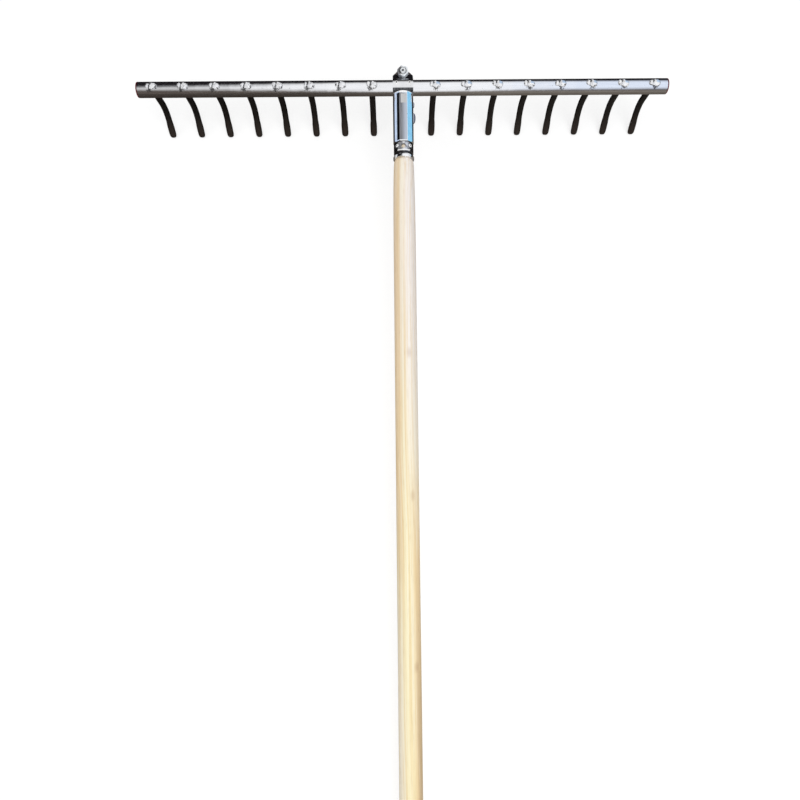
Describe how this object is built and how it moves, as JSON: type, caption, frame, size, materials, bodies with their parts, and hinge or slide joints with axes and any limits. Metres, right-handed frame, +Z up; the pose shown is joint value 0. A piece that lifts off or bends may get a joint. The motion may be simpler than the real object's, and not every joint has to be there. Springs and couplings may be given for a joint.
{
  "type": "garden rake",
  "caption": "Garden rake with a round steel head tube, bent steel tines, a bolted clamp that lets the head tilt, and a long round wooden handle.",
  "frame": {"origin": "centre of the bounding box on the ground under the rake as it lies on its tine points and the end of its handle", "axes": "+X along the head tube to the right, +Y along the ground from the handle's end to the head, +Z up"},
  "size_m": [0.6802, 1.5418, 0.0931],
  "materials": {
    "bright_steel": "drawn and lightly scratched",
    "black_iron": "satin black",
    "chrome": "bright plated",
    "zinc": "bright zinc plated",
    "red_plastic": "gloss",
    "ash_wood": "sanded"
  },
  "bodies": {
    "handle_and_clamp": {"handle": "ash_wood", "handle_screw": "zinc", "front_clamp_shell": "chrome", "rear_clamp_shell": "chrome"},
    "head": {"head_tube": "bright_steel", "tine_01": "black_iron", "tine_02": "black_iron", "tine_03": "black_iron", "tine_04": "black_iron", "tine_05": "black_iron", "tine_06": "black_iron", "tine_07": "black_iron", "tine_08": "black_iron", "tine_09": "black_iron", "tine_10": "black_iron", "tine_11": "black_iron", "tine_12": "black_iron", "tine_13": "black_iron", "tine_14": "black_iron", "tine_15": "black_iron", "tine_16": "black_iron", "end_plug_left": "red_plastic", "end_plug_right": "red_plastic"},
    "nut": {"clamp_nut": "zinc"},
    "bolt": {"clamp_bolt": "zinc"}
  },
  "joints": [
    {"name": "head_tilt", "type": "hinge", "parent": "handle_and_clamp", "child": "head", "pos_m": [0, 0.74445, 0.08072], "axis": [1, 0, 0], "continuous": true},
    {"name": "nut_turn", "type": "hinge", "parent": "handle_and_clamp", "child": "nut", "pos_m": [0, 0.76259, 0.08697], "axis": [0, -0.0438, 0.999], "range_deg": [0, 720]},
    {"name": "bolt_travel", "type": "slide", "parent": "handle_and_clamp", "child": "bolt", "axis": [0, 0.0438, -0.999], "range_m": [0, 0.0025]}
  ],
  "couplings": [
    {"joint": "nut_turn", "follows": "bolt_travel", "rad_per_m": 5026.5}
  ]
}
